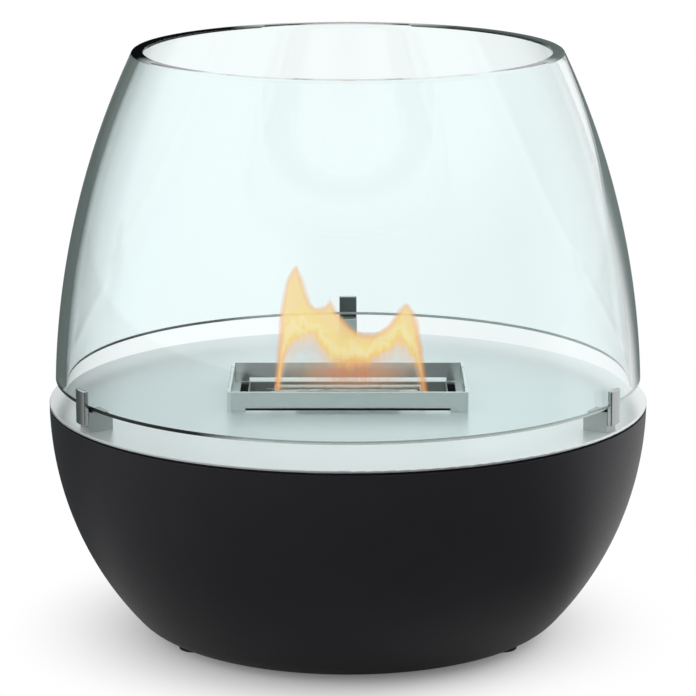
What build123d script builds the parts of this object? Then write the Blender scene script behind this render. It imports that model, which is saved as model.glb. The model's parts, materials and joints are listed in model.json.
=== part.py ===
"""Bioethanol fireplace: a steel bowl with a round steel plate, a glass shade held by three
clips, and a lift-out burner with a sliding damper inside a sheet-metal flame guard.

Millimetres. Z points up and the origin is the centre of the feet's contact plane.
The front faces -Y. Heights that belong to the upper parts start at the plate's top face.
"""

import os
from math import atan, cos, radians, sin, sqrt, tan

from build123d import *

# ---------------------------------------------------------------- overall sizes
plate_radius = 175.0
plate_thickness = 1.6
plate_edge_round = 0.5
bowl_depth = 136.5  # from the plate's top face to the underside of the bowl
foot_height = 2.5
plate_top = foot_height + bowl_depth
plate_underside = plate_top - plate_thickness

# ---------------------------------------------------------------- bowl and feet
bowl_curve_depth = 183.8  # vertical half-axis of the ellipse that the wall follows
bowl_wall = 2.0
bowl_corner_radius = 30.0
shadow_gap = 1.2  # between the plate and the bowl's rim
bowl_rim_height = plate_underside - shadow_gap

foot_radius = 9.5
foot_inset = 2.7  # from the edge of the bowl's flat to the middle of a foot
foot_edge_round = 0.6
foot_recess_depth = 1.2  # how far the screw head lies inside the rubber
foot_screw_radius = 1.5
foot_screw_head_radius = 2.8
foot_screw_head_height = 0.9
foot_nut_flats = 5.5
foot_nut_height = 2.4
hole_clearance = 0.1  # on the radius of a clearance hole
screw_tip = 1.5  # length of a screw past its nut

# ---------------------------------------------------------------- support ring
ring_flange_thickness = 2.0
ring_land = 16.2  # inwards from the clip screws
ring_skirt_height = 10.0
rim_nut_clearance = 0.2  # between the skirt and the nuts' corners

# ---------------------------------------------------------------- glass shade
glass_wall = 6.0
glass_edge_margin = 3.8  # from the plate's edge to the glass at its lower edge
glass_curve_radius = 480.0
glass_curve_drop = 2.7  # the curve's centre lies this far under the plate's top face
glass_height = 191.8
glass_edge_round = 0.6
glass_fit = 0.35  # clearance between the glass and a clip

# ---------------------------------------------------------------- clips
clip_count = 3
clip_names = ["rear", "left", "right"]
clip_width = 11.2
clip_edge_round = 0.6
clip_height = 12.0
clip_inner_reach = 8.2  # inwards from the glass
pad_thickness = 1.0
tab_thickness = 3.4  # in its middle
tab_face_radius = 22.0  # its outer face is rounded from side to side
tab_bottom = 4.0
tab_top = 24.0
dowel_radius = 1.0
dowel_length = 6.0
dowel_in_tab = 1.4
dowel_height = 7.5
dowel_margin = 1.8  # from the side of the clip to a dowel's middle
clip_screw_radius = 1.5
clip_screw_head_radius = 2.8
clip_screw_head_height = 1.8
rim_nut_flats = 5.5
rim_nut_height = 2.4

# ---------------------------------------------------------------- flame guard
guard_width = 139.2
guard_depth = 78.7
guard_height = 11.4
guard_wall = 2.0
guard_bend_radius = 2.4
guard_return = 13.0  # length of the bent end of a long wall
guard_slit = 1.2
guard_slot_border = 10.5  # from the end of a long wall to its slot
guard_slot_height = 2.3
tenon_width = 5.0
tenon_proud = 1.0  # length under the housing's flange
tenon_clearance = 0.1

# ---------------------------------------------------------------- burner well and housing
well_side_strip = 3.6  # plate that shows between the guard and the well, left and right
well_long_strip = 0.95  # and at the front and rear
well_corner_radius = 1.5
housing_wall = 0.8
housing_flange = 9.0
shield_gap = 8.0
shield_margin = 10.0
shield_thickness = 1.0
shield_edge = 6.0
spacer_radius = 4.0
spacer_inset = 14.0
shield_screw_radius = 1.5
shield_screw_length = 5.0  # inside the spacer
shield_screw_head_radius = 2.8
shield_screw_head_height = 1.6

# ---------------------------------------------------------------- burner insert
tank_wall = 0.8
tank_end_gap = 4.8  # to the well at the left and right
tank_rear_gap = 0.6
tank_front_gap = 5.4
tank_height = 51.0
lift_hole_radius = 2.0
lift_hole_drop = 4.5
cover_drop = 8.0
cover_thickness = 0.8
flame_box_side_gap = 15.7  # to the outside of the tank
flame_box_front_gap = 3.0
flame_box_rear_gap = 19.3
flame_box_height = 3.0
flame_box_wall = 1.2
flame_box_edge_round = 0.6
slot_length = 17.5
slot_rear_border = 3.0
wool_fit = 0.3
wool_above_plate = 1.0

# ---------------------------------------------------------------- damper
damper_thickness = 1.2
damper_fit = 0.3
damper_overlap = 1.0  # past the slot's front edge when it is shut
damper_side_height = 4.0
damper_lip_width = 60.0
damper_lip_height = 4.6

# ---------------------------------------------------------------- derived places
bowl_cut_radius = plate_radius * sqrt(1 - (bowl_depth / bowl_curve_depth) ** 2)
bowl_wall_slope = atan(bowl_cut_radius * bowl_curve_depth**2 / (bowl_depth * plate_radius**2))
bowl_flat_radius = bowl_cut_radius - bowl_corner_radius * tan(bowl_wall_slope / 2)
foot_circle_radius = bowl_flat_radius - foot_inset
glass_base_radius = plate_radius - glass_edge_margin
clip_inner_face = glass_base_radius + glass_fit  # inner face of a tab
clip_length = glass_fit + glass_wall + glass_fit + clip_inner_reach
pad_middle = glass_base_radius - glass_wall / 2
ring_inner_radius = pad_middle - ring_land
rim_nut_corner = rim_nut_flats / 2 / cos(radians(30))
ring_skirt_inner_radius = pad_middle + rim_nut_corner + rim_nut_clearance
dowel_offset = clip_width / 2 - dowel_margin
glass_bottom = clip_height + pad_thickness
glass_curve_centre = glass_base_radius - sqrt(
    glass_curve_radius**2 - (glass_bottom + glass_curve_drop) ** 2
)
clip_angles = {name: 90 + 360 / clip_count * turn for turn, name in enumerate(clip_names)}
guard_half_width = guard_width / 2
guard_half_depth = guard_depth / 2
guard_slot_width = guard_width - 2 * guard_slot_border
well_width = guard_width - 2 * (guard_wall + well_side_strip)
well_depth = guard_depth - 2 * (guard_wall + well_long_strip)
well_half_width = well_width / 2
well_half_depth = well_depth / 2
tank_width = well_width - 2 * tank_end_gap
tank_rear = well_half_depth - tank_rear_gap
tank_front = tank_front_gap - well_half_depth
tank_middle = (tank_rear + tank_front) / 2
tank_length = tank_rear - tank_front
tank_bottom = plate_top - tank_height
housing_bottom = tank_bottom - housing_wall
shield_top = housing_bottom - shield_gap
flame_box_width = tank_width - 2 * flame_box_side_gap
flame_box_front = tank_front + flame_box_front_gap
flame_box_rear = tank_rear - flame_box_rear_gap
flame_box_length = flame_box_rear - flame_box_front
flame_box_middle = (flame_box_rear + flame_box_front) / 2
flame_box_top = plate_top + flame_box_height
cover_top = plate_top - cover_drop
slot_rear = flame_box_rear - slot_rear_border
slot_front = slot_rear - slot_length
slot_width = flame_box_width - 2 * flame_box_wall
flame_box_inner_length = flame_box_length - 2 * flame_box_wall
damper_rear = slot_front - damper_overlap
damper_travel = slot_length + 2 * damper_overlap
damper_length = damper_travel
damper_width = flame_box_width + 2 * (damper_fit + damper_thickness)
damper_top = flame_box_top + damper_thickness
damper_middle = damper_rear - damper_length / 2
wall_tenon_x = guard_slot_width / 2 + tenon_clearance + tenon_width / 2
wall_tenon_y = guard_half_depth - guard_wall / 2
side_tenon_x = guard_half_width - guard_wall / 2
tenon_bottom = plate_underside - housing_wall - tenon_proud
spacer_spread_x = well_width - 2 * spacer_inset
spacer_spread_y = well_depth - 2 * spacer_inset


def radial_plane(angle):
    """Upright plane through the axis: x runs outwards, y up from the plate's top face."""
    turn = radians(angle)
    return Plane(
        origin=(0, 0, plate_top),
        x_dir=(cos(turn), sin(turn), 0),
        z_dir=(sin(turn), -cos(turn), 0),
    )


def dowel_plane(angle):
    """Upright plane across the radius, facing the axis, where the dowels end in the tab."""
    turn = radians(angle)
    reach = clip_inner_face + dowel_in_tab
    return Plane(
        origin=(reach * cos(turn), reach * sin(turn), plate_top + dowel_height),
        x_dir=(0, 0, 1),
        z_dir=(-cos(turn), -sin(turn), 0),
    )


def save(part, name):
    part.label = name
    export_step(part, f"parts/{name}.step")


os.makedirs("parts", exist_ok=True)

# ================================================================ bowl and feet
# The wall is an ellipse round the plate's centre, cut flat at the bottom.
with BuildPart() as base_bowl:
    with BuildSketch(Plane.XZ):
        with Locations((0, plate_top)):
            Ellipse(plate_radius, bowl_curve_depth)
        with Locations((plate_radius / 2, (bowl_rim_height + foot_height) / 2)):
            Rectangle(plate_radius, bowl_rim_height - foot_height, mode=Mode.INTERSECT)
    revolve(axis=Axis.Z)
    fillet(base_bowl.edges().group_by(Axis.Z)[0], radius=bowl_corner_radius)
    offset(amount=-bowl_wall, openings=base_bowl.faces().sort_by(Axis.Z)[-1])
    with Locations((0, 0, foot_height)):
        with PolarLocations(foot_circle_radius, clip_count, start_angle=90):
            Cylinder(foot_screw_radius + hole_clearance, 3 * bowl_wall, mode=Mode.SUBTRACT)
save(base_bowl.part, "base_bowl")

for foot_name, foot_angle in clip_angles.items():
    foot_x = foot_circle_radius * cos(radians(foot_angle))
    foot_y = foot_circle_radius * sin(radians(foot_angle))
    with BuildPart() as foot:
        with BuildSketch(Plane.XY):
            with Locations((foot_x, foot_y)):
                Circle(foot_radius)
        extrude(amount=foot_height)
        fillet(foot.edges().sort_by(Axis.Z)[0], radius=foot_edge_round)
        with BuildSketch(Plane.XY):
            with Locations((foot_x, foot_y)):
                Circle(foot_screw_head_radius + hole_clearance)
        extrude(amount=foot_recess_depth, mode=Mode.SUBTRACT)
        with BuildSketch(Plane.XY):
            with Locations((foot_x, foot_y)):
                Circle(foot_screw_radius + hole_clearance)
        extrude(amount=foot_height, mode=Mode.SUBTRACT)
    save(foot.part, f"foot_{foot_name}")

foot_nut_bottom = foot_height + bowl_wall
with BuildPart() as foot_screws:
    with BuildSketch(Plane.XY.offset(foot_recess_depth - foot_screw_head_height)):
        with PolarLocations(foot_circle_radius, clip_count, start_angle=90):
            Circle(foot_screw_head_radius)
    extrude(amount=foot_screw_head_height)
    with BuildSketch(Plane.XY.offset(foot_recess_depth)):
        with PolarLocations(foot_circle_radius, clip_count, start_angle=90):
            Circle(foot_screw_radius)
    extrude(amount=foot_nut_bottom + foot_nut_height + screw_tip - foot_recess_depth)
save(foot_screws.part, "foot_screws")

with BuildPart() as foot_nuts:
    with BuildSketch(Plane.XY.offset(foot_nut_bottom)):
        with PolarLocations(foot_circle_radius, clip_count, start_angle=90):
            RegularPolygon(foot_nut_flats / 2, 6, major_radius=False)
            Circle(foot_screw_radius, mode=Mode.SUBTRACT)
    extrude(amount=foot_nut_height)
save(foot_nuts.part, "foot_nuts")

# ================================================================ support ring and plate
# The ring is welded inside the rim and carries the plate just above it.
with BuildPart() as rim_ring:
    with BuildSketch(Plane.XZ):
        with Locations((plate_radius, plate_underside)):
            Rectangle(
                plate_radius - ring_inner_radius,
                ring_flange_thickness,
                align=(Align.MAX, Align.MAX),
            )
            Rectangle(
                plate_radius - ring_skirt_inner_radius,
                ring_skirt_height,
                align=(Align.MAX, Align.MAX),
            )
        with Locations((0, plate_top)):
            Ellipse(
                plate_radius - bowl_wall,
                bowl_curve_depth - bowl_wall,
                mode=Mode.INTERSECT,
            )
    revolve(axis=Axis.Z)
    with BuildSketch(Plane.XY.offset(plate_underside)):
        with PolarLocations(pad_middle, clip_count, start_angle=90):
            Circle(clip_screw_radius + hole_clearance)
    extrude(amount=-ring_flange_thickness, mode=Mode.SUBTRACT)
save(rim_ring.part, "rim_ring")

rim_nut_top = plate_underside - ring_flange_thickness
with BuildPart() as rim_nuts:
    with BuildSketch(Plane.XY.offset(rim_nut_top)):
        with PolarLocations(pad_middle, clip_count, start_angle=90):
            RegularPolygon(rim_nut_flats / 2, 6, major_radius=False)
            Circle(clip_screw_radius, mode=Mode.SUBTRACT)
    extrude(amount=-rim_nut_height)
save(rim_nuts.part, "rim_nuts")

# Slots for the flame guard's tenons, in the plate and in the housing's flange.
with BuildSketch() as tenon_slots:
    with GridLocations(2 * wall_tenon_x, 2 * wall_tenon_y, 2, 2):
        Rectangle(tenon_width + 2 * tenon_clearance, guard_wall + 2 * tenon_clearance)
    with GridLocations(2 * side_tenon_x, 0, 2, 1):
        Rectangle(guard_wall + 2 * tenon_clearance, tenon_width + 2 * tenon_clearance)

with BuildPart() as top_plate:
    with BuildSketch(Plane.XY.offset(plate_underside)):
        Circle(plate_radius)
        RectangleRounded(well_width, well_depth, well_corner_radius, mode=Mode.SUBTRACT)
        with PolarLocations(pad_middle, clip_count, start_angle=90):
            Circle(clip_screw_radius + hole_clearance, mode=Mode.SUBTRACT)
        add(tenon_slots.sketch, mode=Mode.SUBTRACT)
    extrude(amount=plate_thickness)
    plate_rims = top_plate.edges().filter_by(GeomType.CIRCLE)
    fillet(plate_rims.sort_by(SortBy.RADIUS)[-2:], radius=plate_edge_round)
save(top_plate.part, "top_plate")

# ================================================================ glass shade
with BuildPart() as glass_shade:
    with BuildSketch(Plane.XZ):
        with Locations((glass_curve_centre, plate_top - glass_curve_drop)):
            Circle(glass_curve_radius)
            Circle(glass_curve_radius - glass_wall, mode=Mode.SUBTRACT)
        with Locations((glass_base_radius / 2, plate_top + glass_bottom + glass_height / 2)):
            Rectangle(glass_base_radius, glass_height, mode=Mode.INTERSECT)
    revolve(axis=Axis.Z)
    fillet(glass_shade.edges().filter_by(GeomType.CIRCLE), radius=glass_edge_round)
save(glass_shade.part, "glass_shade")

# ================================================================ clips
for clip_name, clip_angle in clip_angles.items():
    with BuildPart() as clip_block:
        with BuildSketch(radial_plane(clip_angle)):
            with Locations((clip_inner_face, 0)):
                Rectangle(clip_length, clip_height, align=(Align.MAX, Align.MIN))
        extrude(amount=clip_width / 2, both=True)
        top_edges = clip_block.faces().sort_by(Axis.Z)[-1].edges()
        fillet(top_edges.sort_by_distance((0, 0, plate_top))[:-1], radius=clip_edge_round)
        with BuildSketch(Plane.XY.offset(plate_top)):
            with PolarLocations(pad_middle, 1, start_angle=clip_angle):
                Circle(clip_screw_radius + hole_clearance)
        extrude(amount=clip_height, mode=Mode.SUBTRACT)
        with BuildSketch(Plane.XY.offset(plate_top + clip_height)):
            with PolarLocations(pad_middle, 1, start_angle=clip_angle):
                Circle(clip_screw_head_radius + hole_clearance)
        extrude(amount=-clip_screw_head_height, mode=Mode.SUBTRACT)
        with BuildSketch(dowel_plane(clip_angle)):
            with GridLocations(0, 2 * dowel_offset, 1, 2):
                Circle(dowel_radius)
        extrude(amount=dowel_length, mode=Mode.SUBTRACT)
    save(clip_block.part, f"clip_block_{clip_name}")

    with BuildPart() as clip_tab:
        with BuildSketch(Plane.XY.offset(plate_top + tab_bottom).rotated((0, 0, clip_angle))):
            with Locations((clip_inner_face, 0)):
                Rectangle(tab_thickness, clip_width, align=(Align.MIN, Align.CENTER))
            with Locations((clip_inner_face + tab_thickness - tab_face_radius, 0)):
                Circle(tab_face_radius, mode=Mode.INTERSECT)
        extrude(amount=tab_top - tab_bottom)
        fillet(clip_tab.edges(), radius=clip_edge_round)
        with BuildSketch(dowel_plane(clip_angle)):
            with GridLocations(0, 2 * dowel_offset, 1, 2):
                Circle(dowel_radius)
        extrude(amount=dowel_length, mode=Mode.SUBTRACT)
    save(clip_tab.part, f"clip_tab_{clip_name}")

with BuildPart() as tab_dowels:
    for clip_angle in clip_angles.values():
        with BuildSketch(dowel_plane(clip_angle)):
            with GridLocations(0, 2 * dowel_offset, 1, 2):
                Circle(dowel_radius)
        extrude(amount=dowel_length)
save(tab_dowels.part, "tab_dowels")

with BuildPart() as glass_pads:
    for clip_angle in clip_angles.values():
        with BuildSketch(radial_plane(clip_angle)):
            with Locations((pad_middle, clip_height)):
                Rectangle(glass_wall, pad_thickness, align=(Align.CENTER, Align.MIN))
        extrude(amount=clip_width / 2 - clip_edge_round, both=True)
save(glass_pads.part, "glass_pads")

clip_screw_top = plate_top + clip_height
with BuildPart() as clip_screws:
    with BuildSketch(Plane.XY.offset(clip_screw_top)):
        with PolarLocations(pad_middle, clip_count, start_angle=90):
            Circle(clip_screw_head_radius)
    extrude(amount=-clip_screw_head_height)
    with BuildSketch(Plane.XY.offset(clip_screw_top)):
        with PolarLocations(pad_middle, clip_count, start_angle=90):
            Circle(clip_screw_radius)
    extrude(amount=-(clip_screw_top - rim_nut_top + rim_nut_height + screw_tip))
save(clip_screws.part, "clip_screws")

# ================================================================ flame guard
# Each long wall is bent round the corners and slotted at its foot; short walls fill the ends.
for guard_name, guard_side in (("guard_front", -1), ("guard_rear", 1)):
    bend_x = guard_half_width - guard_wall / 2
    return_end = guard_side * (guard_half_depth - guard_return)
    with BuildPart() as long_wall:
        with BuildSketch(Plane.XY.offset(plate_top)):
            with BuildLine():
                FilletPolyline(
                    (-bend_x, return_end),
                    (-bend_x, guard_side * wall_tenon_y),
                    (bend_x, guard_side * wall_tenon_y),
                    (bend_x, return_end),
                    radius=guard_bend_radius - guard_wall / 2,
                )
            trace(line_width=guard_wall)
        extrude(amount=guard_height)
        with BuildSketch(Plane.XZ):
            with Locations((0, plate_top)):
                Rectangle(
                    guard_slot_width, guard_slot_height, align=(Align.CENTER, Align.MIN)
                )
        extrude(amount=guard_depth, both=True, mode=Mode.SUBTRACT)
        with BuildSketch(Plane.XY.offset(tenon_bottom)):
            with Locations((0, guard_side * wall_tenon_y)):
                with GridLocations(2 * wall_tenon_x, 0, 2, 1):
                    Rectangle(tenon_width, guard_wall)
        extrude(amount=plate_top - tenon_bottom)
    save(long_wall.part, guard_name)

short_wall_length = guard_depth - 2 * (guard_return + guard_slit)
for guard_name, guard_side in (("guard_left", -1), ("guard_right", 1)):
    with BuildPart() as short_wall:
        with BuildSketch(Plane.XY.offset(plate_top)):
            with Locations((guard_side * side_tenon_x, 0)):
                Rectangle(guard_wall, short_wall_length)
        extrude(amount=guard_height)
        with BuildSketch(Plane.XY.offset(tenon_bottom)):
            with Locations((guard_side * side_tenon_x, 0)):
                Rectangle(guard_wall, tenon_width)
        extrude(amount=plate_top - tenon_bottom)
    save(short_wall.part, guard_name)

# ================================================================ housing and heat shield
# The well under the plate, with a flange that is spot-welded to the plate's underside.
with BuildPart() as burner_housing:
    with BuildSketch(Plane.XY.offset(plate_underside)):
        RectangleRounded(
            well_width + 2 * housing_flange,
            well_depth + 2 * housing_flange,
            well_corner_radius + housing_flange,
        )
        add(tenon_slots.sketch, mode=Mode.SUBTRACT)
    extrude(amount=-housing_wall)
    with BuildSketch(Plane.XY.offset(housing_bottom)):
        RectangleRounded(
            well_width + 2 * housing_wall,
            well_depth + 2 * housing_wall,
            well_corner_radius + housing_wall,
        )
    extrude(amount=plate_underside - housing_bottom)
    with BuildSketch(Plane.XY.offset(tank_bottom)):
        RectangleRounded(well_width, well_depth, well_corner_radius)
    extrude(amount=plate_underside - tank_bottom, mode=Mode.SUBTRACT)
save(burner_housing.part, "burner_housing")

with BuildPart() as shield_spacers:
    with BuildSketch(Plane.XY.offset(shield_top)):
        with GridLocations(spacer_spread_x, spacer_spread_y, 2, 2):
            Circle(spacer_radius)
    extrude(amount=shield_gap)
    with BuildSketch(Plane.XY.offset(shield_top)):
        with GridLocations(spacer_spread_x, spacer_spread_y, 2, 2):
            Circle(shield_screw_radius)
    extrude(amount=shield_screw_length, mode=Mode.SUBTRACT)
save(shield_spacers.part, "shield_spacers")

shield_width = well_width + 2 * shield_margin
shield_depth = well_depth + 2 * shield_margin
with BuildPart() as heat_shield:
    with BuildSketch(Plane.XY.offset(shield_top - shield_thickness)):
        RectangleRounded(shield_width, shield_depth, shield_margin)
        with GridLocations(spacer_spread_x, spacer_spread_y, 2, 2):
            Circle(shield_screw_radius + hole_clearance, mode=Mode.SUBTRACT)
    extrude(amount=shield_thickness)
    with BuildSketch(Plane.XY.offset(shield_top)):
        RectangleRounded(shield_width, shield_depth, shield_margin)
        RectangleRounded(
            shield_width - 2 * shield_thickness,
            shield_depth - 2 * shield_thickness,
            shield_margin - shield_thickness,
            mode=Mode.SUBTRACT,
        )
    extrude(amount=shield_edge)
save(heat_shield.part, "heat_shield")

shield_bottom = shield_top - shield_thickness
with BuildPart() as shield_screws:
    with BuildSketch(Plane.XY.offset(shield_bottom - shield_screw_head_height)):
        with GridLocations(spacer_spread_x, spacer_spread_y, 2, 2):
            Circle(shield_screw_head_radius)
    extrude(amount=shield_screw_head_height)
    with BuildSketch(Plane.XY.offset(shield_bottom)):
        with GridLocations(spacer_spread_x, spacer_spread_y, 2, 2):
            Circle(shield_screw_radius)
    extrude(amount=shield_thickness + shield_screw_length)
save(shield_screws.part, "shield_screws")

# ================================================================ burner insert
# An open steel tank that stands in the well, its sunken cover, and the raised flame box.
tank_inner_width = tank_width - 2 * tank_wall
tank_inner_length = tank_length - 2 * tank_wall
tank_floor_top = tank_bottom + tank_wall
with BuildPart() as burner_tank:
    with BuildSketch(Plane.XY.offset(tank_bottom)):
        with Locations((0, tank_middle)):
            RectangleRounded(tank_width, tank_length, well_corner_radius)
    extrude(amount=tank_height)
    with BuildSketch(Plane.XY.offset(tank_floor_top)):
        with Locations((0, tank_middle)):
            Rectangle(tank_inner_width, tank_inner_length)
    extrude(amount=tank_height, mode=Mode.SUBTRACT)
    with BuildSketch(Plane.YZ):
        with Locations((tank_middle, plate_top - lift_hole_drop)):
            Circle(lift_hole_radius)
    extrude(amount=tank_width, both=True, mode=Mode.SUBTRACT)
save(burner_tank.part, "burner_tank")

with BuildPart() as burner_cover:
    with BuildSketch(Plane.XY.offset(cover_top)):
        with Locations((0, tank_middle)):
            Rectangle(tank_inner_width, tank_inner_length)
        with Locations((0, flame_box_middle)):
            Rectangle(slot_width, flame_box_inner_length, mode=Mode.SUBTRACT)
    extrude(amount=-cover_thickness)
save(burner_cover.part, "burner_cover")

with BuildPart() as flame_box:
    with BuildSketch(Plane.XY.offset(cover_top)):
        with Locations((0, flame_box_middle)):
            Rectangle(flame_box_width, flame_box_length)
    extrude(amount=flame_box_top - cover_top)
    fillet(flame_box.edges().filter_by(Axis.Z), radius=flame_box_edge_round)
    with BuildSketch(Plane.XY.offset(cover_top)):
        with Locations((0, flame_box_middle)):
            Rectangle(slot_width, flame_box_inner_length)
    extrude(amount=flame_box_top - flame_box_wall - cover_top, mode=Mode.SUBTRACT)
    with BuildSketch(Plane.XY.offset(flame_box_top)):
        with Locations((0, (slot_front + slot_rear) / 2)):
            Rectangle(slot_width, slot_length)
    extrude(amount=-2 * flame_box_wall, mode=Mode.SUBTRACT)
save(flame_box.part, "flame_box")

with BuildPart() as ceramic_wool:
    with BuildSketch(Plane.XY.offset(tank_floor_top)):
        with Locations((0, tank_middle)):
            Rectangle(tank_inner_width - 2 * wool_fit, tank_inner_length - 2 * wool_fit)
    extrude(amount=cover_top - cover_thickness - wool_fit - tank_floor_top)
    with BuildSketch(Plane.XY.offset(tank_floor_top)):
        with Locations((0, flame_box_middle)):
            Rectangle(slot_width - 2 * wool_fit, flame_box_inner_length - 2 * wool_fit)
    extrude(amount=plate_top + wool_above_plate - tank_floor_top)
save(ceramic_wool.part, "ceramic_wool")

# ================================================================ damper
# A channel that slides on the flame box; pushed back, it covers the slot.
with BuildPart() as damper_plate:
    with BuildSketch(Plane.XY.offset(flame_box_top)):
        with Locations((0, damper_middle)):
            Rectangle(damper_width, damper_length)
    extrude(amount=damper_thickness)
    with BuildSketch(Plane.XY.offset(damper_top)):
        with Locations((0, damper_middle)):
            with GridLocations(damper_width - damper_thickness, 0, 2, 1):
                Rectangle(damper_thickness, damper_length)
    extrude(amount=-(damper_thickness + damper_side_height))
    with BuildSketch(Plane.XY.offset(damper_top)):
        with Locations((0, damper_rear - damper_length + damper_thickness / 2)):
            Rectangle(damper_lip_width, damper_thickness)
    extrude(amount=damper_lip_height)
save(damper_plate.part, "damper_plate")
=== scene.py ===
import json
import math
import random

import bmesh
import bpy
from mathutils import Matrix, Vector, kdtree, noise


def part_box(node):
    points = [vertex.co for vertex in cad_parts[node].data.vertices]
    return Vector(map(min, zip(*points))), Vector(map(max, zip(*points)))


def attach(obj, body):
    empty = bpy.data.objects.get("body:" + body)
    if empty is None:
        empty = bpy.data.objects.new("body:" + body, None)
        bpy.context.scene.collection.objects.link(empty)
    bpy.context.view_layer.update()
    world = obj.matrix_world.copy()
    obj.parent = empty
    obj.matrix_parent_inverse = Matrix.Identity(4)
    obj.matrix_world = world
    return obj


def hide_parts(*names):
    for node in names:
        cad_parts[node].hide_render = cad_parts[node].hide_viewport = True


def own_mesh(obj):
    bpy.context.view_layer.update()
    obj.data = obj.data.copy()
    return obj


# Bioethanol fireplace: a powder-coated steel bowl with a satin steel plate, a glass shade
# on three clips, and a lift-out burner with its flame. Metres, in the frame's own axes.

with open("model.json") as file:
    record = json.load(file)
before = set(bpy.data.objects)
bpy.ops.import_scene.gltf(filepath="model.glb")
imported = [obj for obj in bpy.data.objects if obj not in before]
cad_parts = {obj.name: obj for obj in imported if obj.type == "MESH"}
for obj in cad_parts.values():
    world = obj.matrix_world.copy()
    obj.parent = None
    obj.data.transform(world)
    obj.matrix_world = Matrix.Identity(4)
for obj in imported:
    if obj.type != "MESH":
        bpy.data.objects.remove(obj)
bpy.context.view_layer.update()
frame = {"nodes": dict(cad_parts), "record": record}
nodes = frame["nodes"]
mm = 0.001
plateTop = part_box("top_plate")[1].z


# shared helpers: colours, nodes, meshes

def hexColour(text):
    # sRGB to linear
    channels = [int(text[i:i + 2], 16) / 255 for i in (1, 3, 5)]
    linear = [c / 12.92 if c <= 0.04045 else ((c + 0.055) / 1.055) ** 2.4 for c in channels]
    return (*linear, 1.0)


def addNode(tree, kind, inputs=None, stops=None, **settings):
    # inputs are linked or set, and stops, of position and colour, fill a ramp
    node = tree.nodes.new(kind)
    for name, value in settings.items():
        setattr(node, name, value)
    for socket, value in (inputs or {}).items():
        if isinstance(value, bpy.types.NodeSocket):
            tree.links.new(value, node.inputs[socket])
        else:
            node.inputs[socket].default_value = value
    if stops:
        elements = node.color_ramp.elements
        for position, colour in stops[1:-1]:
            elements.new(position).color = colour
        elements[0].position, elements[0].color = stops[0]
        elements[-1].position, elements[-1].color = stops[-1]
    return node


def newMaterial(name, **constants):
    material = bpy.data.materials.new(name)
    material.use_nodes = True
    tree = material.node_tree
    tree.nodes.clear()
    shader = addNode(tree, "ShaderNodeBsdfPrincipled")
    for socket, value in constants.items():
        shader.inputs[socket.replace("_", " ")].default_value = value
    addNode(tree, "ShaderNodeOutputMaterial", {"Surface": shader.outputs[0]})
    place = addNode(tree, "ShaderNodeTexCoord").outputs["Object"]
    return material, tree, shader, place


def tonesAround(tree, direction, tones):
    # tones by direction: the object's left is 0, its front 0.25, its right 0.5 and its back 0.75
    turn = addNode(tree, "ShaderNodeTexGradient", {"Vector": direction}, gradient_type="RADIAL")
    stops = [(position, hexColour(colour)) for position, colour in tones]
    return addNode(tree, "ShaderNodeValToRGB", {"Fac": turn.outputs[1]}, stops).outputs[0]


def finishMesh(name, bm, materials, smoothAngle=30, flatFaces=True):
    mesh = bpy.data.meshes.new(name)
    bm.to_mesh(mesh)
    bm.free()
    piece = bpy.data.objects.new(name, mesh)
    bpy.context.scene.collection.objects.link(piece)
    for material in materials:
        mesh.materials.append(material)
    mesh.shade_smooth()
    mesh.set_sharp_from_angle(angle=math.radians(smoothAngle))
    if flatFaces:
        # large faces stay flat up to their rounded edges
        shading = piece.modifiers.new("face_weighted_normals", "WEIGHTED_NORMAL")
        shading.keep_sharp = True
    return piece


def keep(piece, body, slot=None, *replaced):
    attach(piece, body)
    if replaced:
        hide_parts(*replaced)
    return piece


def sharpEdges(bm, angle):
    return [edge for edge in bm.edges
            if edge.is_manifold and edge.calc_face_angle(0) > math.radians(angle)]


copying = {"merge": 0.001, "flatAngle": 0.2, "sharpAngle": 30, "bevelSegments": 2}


def dressedCopy(node, name, material, bevelWidth):
    # a merged copy of a CAD node, with its sharp edges broken as a deburred edge is
    bm = bmesh.new()
    bm.from_mesh(nodes[node].data)
    bmesh.ops.remove_doubles(bm, verts=bm.verts, dist=copying["merge"] * mm)
    bmesh.ops.dissolve_limit(bm, angle_limit=math.radians(copying["flatAngle"]), verts=bm.verts,
                             edges=bm.edges, use_dissolve_boundaries=False)
    bmesh.ops.bevel(bm, geom=sharpEdges(bm, copying["sharpAngle"]), offset=bevelWidth * mm,
                    offset_type="OFFSET", affect="EDGES", segments=copying["bevelSegments"],
                    profile=0.5, material=-1, clamp_overlap=True)
    for face in bm.faces:
        face.material_index = 0
    return finishMesh(name, bm, [material])


def lineFaces(piece, material, chosen):
    # gives another finish to the faces for which chosen(middle, normal) is true
    piece.data.materials.append(material)
    for polygon in piece.data.polygons:
        if chosen(polygon.center, polygon.normal):
            polygon.material_index = len(piece.data.materials) - 1


# materials: sizes of their patterns in mm

patternMiddle = {"From Min": 0.3, "From Max": 0.7}  # where most of a noise pattern lies
reliefDepth = 0.05
clouding = {"metalSize": 40, "darkSize": 60, "added": 0.4}  # uneven patches, centimetres wide


def patternedSurface(tree, shader, stain, relief, look):
    # colour follows the stain, gloss and bump follow the relief
    first, second = look["colours"]
    colour = addNode(tree, "ShaderNodeMix", {
        "Factor": stain, 6: hexColour(first), 7: hexColour(second)}, data_type="RGBA")
    tree.links.new(colour.outputs[2], shader.inputs["Base Color"])
    least, most = look["roughness"]
    roughness = addNode(tree, "ShaderNodeMapRange", {
        "Value": relief, **patternMiddle, "To Min": least, "To Max": most})
    tree.links.new(roughness.outputs[0], shader.inputs["Roughness"])
    bump = addNode(tree, "ShaderNodeBump", {
        "Height": relief, "Strength": look["bump"], "Distance": reliefDepth * mm})
    tree.links.new(bump.outputs[0], shader.inputs["Normal"])


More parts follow.
